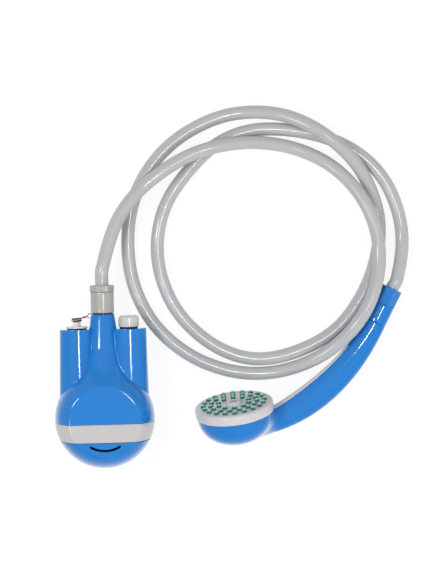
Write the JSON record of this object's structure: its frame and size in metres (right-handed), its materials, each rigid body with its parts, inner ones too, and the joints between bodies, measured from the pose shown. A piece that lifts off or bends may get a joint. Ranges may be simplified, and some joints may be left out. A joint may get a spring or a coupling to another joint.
{
  "type": "camp shower pump",
  "caption": "Battery shower pump for camping: ball-shaped body with battery tubes and a flared neck, a loosely coiled hose and a hand shower with rubber nozzles.",
  "frame": {"origin": "middle of the pump's flat back, on the surface that everything lies on", "axes": "+Y along the pump's axis towards its neck, +Z out of its flat front, +X towards the hand shower"},
  "size_m": [0.3451, 0.3426, 0.0747],
  "materials": {
    "blue": "glossy moulded",
    "grey": "satin moulded",
    "collar": "satin moulded",
    "white": "satin moulded",
    "hose": "soft smooth PVC",
    "dark_rubber": "matte",
    "teal_rubber": "soft satin",
    "steel": "bright",
    "brass": "turned",
    "dark_plastic": "moulded",
    "cell_wrap": "shrink wrap",
    "board": "lacquered",
    "dark_cord": "twisted thread",
    "red_cord": "twisted thread"
  },
  "bodies": {
    "pump_and_shower": {"upper_housing": "blue", "band_ring": "grey", "motor_deck": "collar", "deck_gasket": "dark_rubber", "deck_screws": "steel", "pump_volute": "collar", "shaft_seal": "dark_rubber", "motor_can": "steel", "motor_bell": "dark_plastic", "outlet_pipe": "white", "battery_tray": "dark_plastic", "battery_cell_left": "cell_wrap", "battery_cell_right": "cell_wrap", "circuit_board": "board", "switch_body": "dark_plastic", "button_bushing": "dark_plastic", "button_gasket": "dark_rubber", "button_spring": "steel", "panel_nuts": "steel", "charge_socket": "dark_plastic", "tether_dark": "dark_cord", "tether_red": "red_cord", "outlet_washer": "dark_rubber", "hose_barb": "brass", "grip_ring": "white", "hose": "hose", "head_shell": "blue", "face_plate": "grey", "nozzle_mat": "teal_rubber", "face_seal": "dark_rubber", "face_screw": "steel", "handle_strip": "grey", "handle_tail": "brass", "handle_washer": "dark_rubber", "handle_grip_ring": "white"},
    "button": {"button_cap": "grey"},
    "plug": {"charge_plug": "white", "plug_gasket": "dark_rubber"},
    "rotor": {"impeller": "white", "motor_shaft": "steel"},
    "dome": {"intake_dome": "blue", "strainer": "steel"},
    "pump_nut": {"hose_nut": "collar"},
    "shower_nut": {"handle_nut": "blue"}
  },
  "joints": [
    {"name": "button_press", "type": "slide", "parent": "pump_and_shower", "child": "button", "axis": [0, -1, 0], "range_m": [0, 0.001], "stiffness_N_per_m": 800, "springref_m": -0.002, "deforming": ["button_spring"]},
    {"name": "charge_plug_pull", "type": "slide", "parent": "pump_and_shower", "child": "plug", "axis": [0, 1, 0], "range_m": [0, 0.01], "deforming": ["tether_dark", "tether_red"]},
    {"name": "impeller_spin", "type": "hinge", "parent": "pump_and_shower", "child": "rotor", "pos_m": [0, -0.01, 0.0334], "axis": [0, 1, 0], "continuous": true},
    {"name": "dome_twist", "type": "hinge", "parent": "pump_and_shower", "child": "dome", "pos_m": [0, -0.02, 0.0334], "axis": [0, 1, 0], "range_deg": [0, 28]},
    {"name": "hose_nut_turn", "type": "hinge", "parent": "pump_and_shower", "child": "pump_nut", "pos_m": [0, 0.105, 0.0334], "axis": [0, 1, 0], "range_deg": [0, 1080]},
    {"name": "handle_nut_turn", "type": "hinge", "parent": "pump_and_shower", "child": "shower_nut", "pos_m": [0.26284, 0.08362, 0.01065], "axis": [0.458, 0.8884, 0.0301], "range_deg": [0, 1080]}
  ]
}
